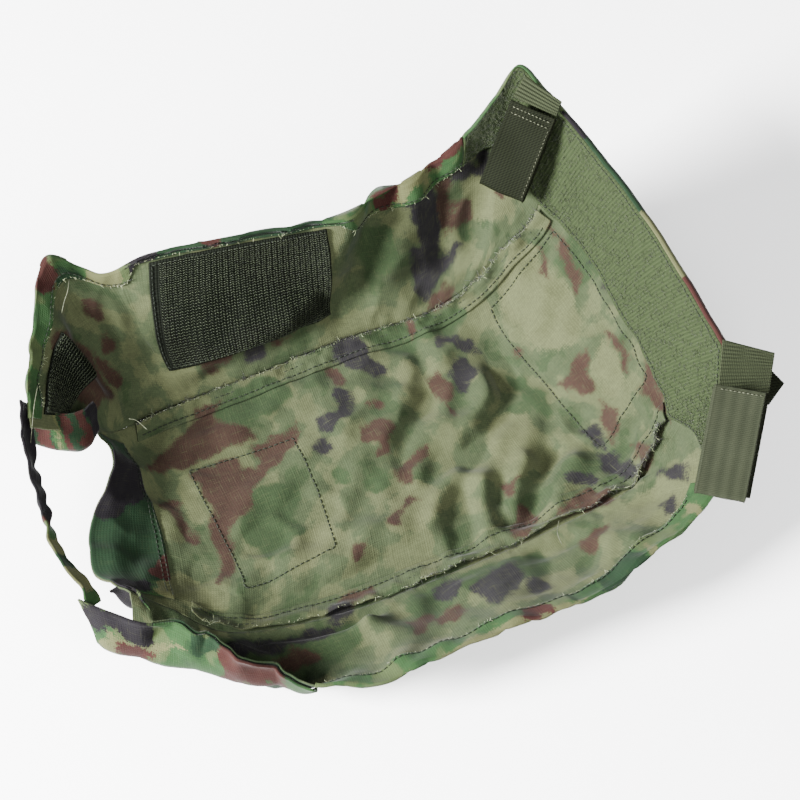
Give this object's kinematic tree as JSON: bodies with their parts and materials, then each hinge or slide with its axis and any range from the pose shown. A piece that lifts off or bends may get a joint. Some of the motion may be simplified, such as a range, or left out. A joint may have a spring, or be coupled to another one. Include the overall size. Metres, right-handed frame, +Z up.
{
  "type": "hand warmer muff",
  "caption": "Unlined cloth muff shell, open on top, with a turned-up end wall, hook patches, a loop band, a hand opening and two hanging webbing strap tabs.",
  "frame": {"origin": "middle of the base patch's underside, where the shell rests", "axes": "+X from the hand opening to the loop band, +Y to the hook patch wall, +Z up"},
  "size_m": [0.3177, 0.2434, 0.0923],
  "materials": {
    "cloth_inside": "reverse of printed ripstop cotton, faded green, tan, brown and grey",
    "cloth_outer_print": "printed face of ripstop cotton, green, brown, black and cream",
    "hook_tape": "dark green woven nylon hook tape",
    "loop_tape": "olive green brushed nylon loop tape",
    "elastic": "ribbed olive elastic",
    "webbing": "twill-woven olive webbing",
    "thread": "dark green sewing thread"
  },
  "bodies": {
    "shell": {"center_panel": "cloth_inside", "far_side_panel": "cloth_inside", "near_side_panel": "cloth_inside", "hand_opening_band": "cloth_outer_print", "near_left_band": "cloth_outer_print", "left_facing": "cloth_outer_print", "hook_patch": "hook_tape", "corner_hook_tape": "hook_tape", "loop_band": "loop_tape", "base_patch": "cloth_outer_print", "end_patch": "cloth_outer_print", "far_seam_allowance": "cloth_inside", "near_seam_allowance": "cloth_inside", "far_rim_hem": "cloth_outer_print", "near_rim_hem": "cloth_outer_print", "upper_strap_root": "elastic", "lower_strap_root": "elastic", "far_seam_thread": "thread", "near_seam_thread": "thread", "facing_thread": "thread", "base_patch_thread": "thread", "end_patch_thread": "thread", "hook_patch_thread": "thread"},
    "upper_tab": {"upper_strap_tab": "webbing"},
    "lower_tab": {"lower_strap_tab": "webbing"}
  },
  "joints": [
    {"name": "upper_tab_fold", "type": "hinge", "parent": "shell", "child": "upper_tab", "pos_m": [0.17748, 0.09526, 0.08645], "axis": [-0.6086, 0.793, 0.0277], "range_deg": [0, 85]},
    {"name": "lower_tab_fold", "type": "hinge", "parent": "shell", "child": "lower_tab", "pos_m": [0.1979, -0.06581, 0.07448], "axis": [-0.829, 0.5527, 0.0858], "range_deg": [0, 85]}
  ]
}
